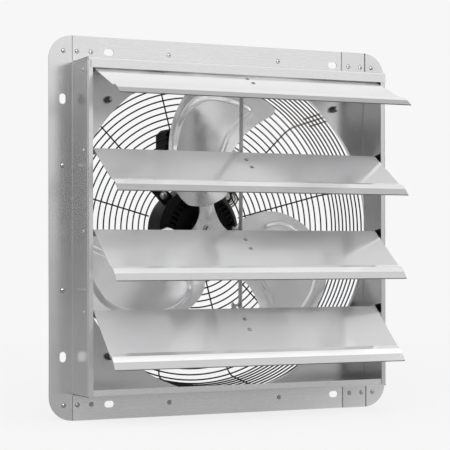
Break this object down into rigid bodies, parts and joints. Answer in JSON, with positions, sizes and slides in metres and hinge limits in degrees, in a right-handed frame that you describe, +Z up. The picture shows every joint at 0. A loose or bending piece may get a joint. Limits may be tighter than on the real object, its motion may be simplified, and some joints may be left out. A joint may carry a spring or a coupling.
{
  "type": "shutter exhaust fan",
  "caption": "Square wall-mounted exhaust fan: bent-sheet frame with linked gravity louvers in front, orifice panel, wire guard, motor and three-blade fan behind.",
  "frame": {"origin": "centre of the mounting flange, on its back face, which lies against the wall", "axes": "+Z up, +Y back through the wall opening towards the motor, +X to the right seen from the louver side"},
  "size_m": [0.55, 0.3191, 0.55],
  "materials": {
    "frame_sheet": "satin mill finish",
    "louver_sheet": "satin mill finish",
    "zinc_plated_steel": "bright zinc plating",
    "rivet_metal": "bright",
    "tie_bar_metal": "satin mill finish",
    "black_nylon": "matt",
    "black_wire": "semi-gloss coating",
    "motor_paint": "satin paint",
    "steel_laminations": "bare",
    "enamelled_copper": "varnished",
    "hub_metal": "machined",
    "spider_metal": "satin",
    "blade_sheet": "polished, a little rippled",
    "box_plastic": "fine grain",
    "capacitor_case": "gloss",
    "brown_insulation": "matt",
    "blue_insulation": "matt",
    "earth_insulation": "matt"
  },
  "bodies": {
    "housing": {"frame_side_left": "frame_sheet", "frame_side_right": "frame_sheet", "frame_top": "frame_sheet", "frame_bottom": "frame_sheet", "corner_rivets": "rivet_metal", "panel_rivets": "rivet_metal", "orifice_panel": "frame_sheet", "pivot_pins": "zinc_plated_steel", "pivot_blocks": "black_nylon", "guard_face_rings": "black_wire", "guard_side_rings": "black_wire", "guard_spokes": "black_wire", "guard_ears": "black_wire", "guard_bolts": "zinc_plated_steel", "guard_nuts": "black_nylon", "guard_washers": "zinc_plated_steel", "motor_plates": "black_wire", "motor_front_bell": "motor_paint", "motor_rear_bell": "motor_paint", "bell_bolts": "zinc_plated_steel", "lug_screws": "zinc_plated_steel", "lug_nuts": "zinc_plated_steel", "stator_core": "steel_laminations", "stator_windings": "enamelled_copper", "front_bearing": "zinc_plated_steel", "rear_bearing": "zinc_plated_steel", "terminal_box": "box_plastic", "box_lid": "box_plastic", "box_bracket": "black_wire", "cable_gland": "black_nylon", "capacitor": "capacitor_case", "lead_brown": "brown_insulation", "lead_blue": "blue_insulation", "lead_earth": "earth_insulation"},
    "shutter_1": {"louver_1": "louver_sheet", "louver_bracket_1": "zinc_plated_steel", "bracket_rivets_1": "rivet_metal", "link_pin_1": "zinc_plated_steel"},
    "shutter_2": {"louver_2": "louver_sheet", "louver_bracket_2": "zinc_plated_steel", "bracket_rivets_2": "rivet_metal", "link_pin_2": "zinc_plated_steel"},
    "shutter_3": {"louver_3": "louver_sheet", "louver_bracket_3": "zinc_plated_steel", "bracket_rivets_3": "rivet_metal", "link_pin_3": "zinc_plated_steel"},
    "shutter_4": {"louver_4": "louver_sheet", "louver_bracket_4": "zinc_plated_steel", "bracket_rivets_4": "rivet_metal", "link_pin_4": "zinc_plated_steel"},
    "link": {"tie_bar": "tie_bar_metal"},
    "fan": {"rotor_core": "steel_laminations", "motor_shaft": "zinc_plated_steel", "fan_hub": "hub_metal", "fan_spider": "spider_metal", "hub_bolt": "zinc_plated_steel", "blade_1": "blade_sheet", "blade_2": "blade_sheet", "blade_3": "blade_sheet", "blade_rivets": "rivet_metal"}
  },
  "joints": [
    {"name": "louver_1_swing", "type": "hinge", "parent": "housing", "child": "shutter_1", "pos_m": [0, -0.0494, 0.22], "axis": [1, 0, 0], "range_deg": [0, 65]},
    {"name": "louver_2_swing", "type": "hinge", "parent": "housing", "child": "shutter_2", "pos_m": [0, -0.0494, 0.1065], "axis": [1, 0, 0], "range_deg": [0, 55.25]},
    {"name": "louver_3_swing", "type": "hinge", "parent": "housing", "child": "shutter_3", "pos_m": [0, -0.0494, -0.007], "axis": [1, 0, 0], "range_deg": [0, 50.7]},
    {"name": "louver_4_swing", "type": "hinge", "parent": "housing", "child": "shutter_4", "pos_m": [0, -0.0494, -0.1205], "axis": [1, 0, 0], "range_deg": [0, 41.6]},
    {"name": "link_swing", "type": "hinge", "parent": "shutter_1", "child": "link", "pos_m": [0, -0.0411, 0.22347], "axis": [1, 0, 0], "range_deg": [-65, 0]},
    {"name": "fan_spin", "type": "hinge", "parent": "housing", "child": "fan", "pos_m": [0, 0, 0], "axis": [0, 1, 0], "continuous": true}
  ],
  "couplings": [
    {"joint": "louver_2_swing", "follows": "louver_1_swing", "ratio": 0.85},
    {"joint": "louver_3_swing", "follows": "louver_1_swing", "ratio": 0.78},
    {"joint": "louver_4_swing", "follows": "louver_1_swing", "ratio": 0.64},
    {"joint": "link_swing", "follows": "louver_1_swing", "ratio": -1}
  ]
}
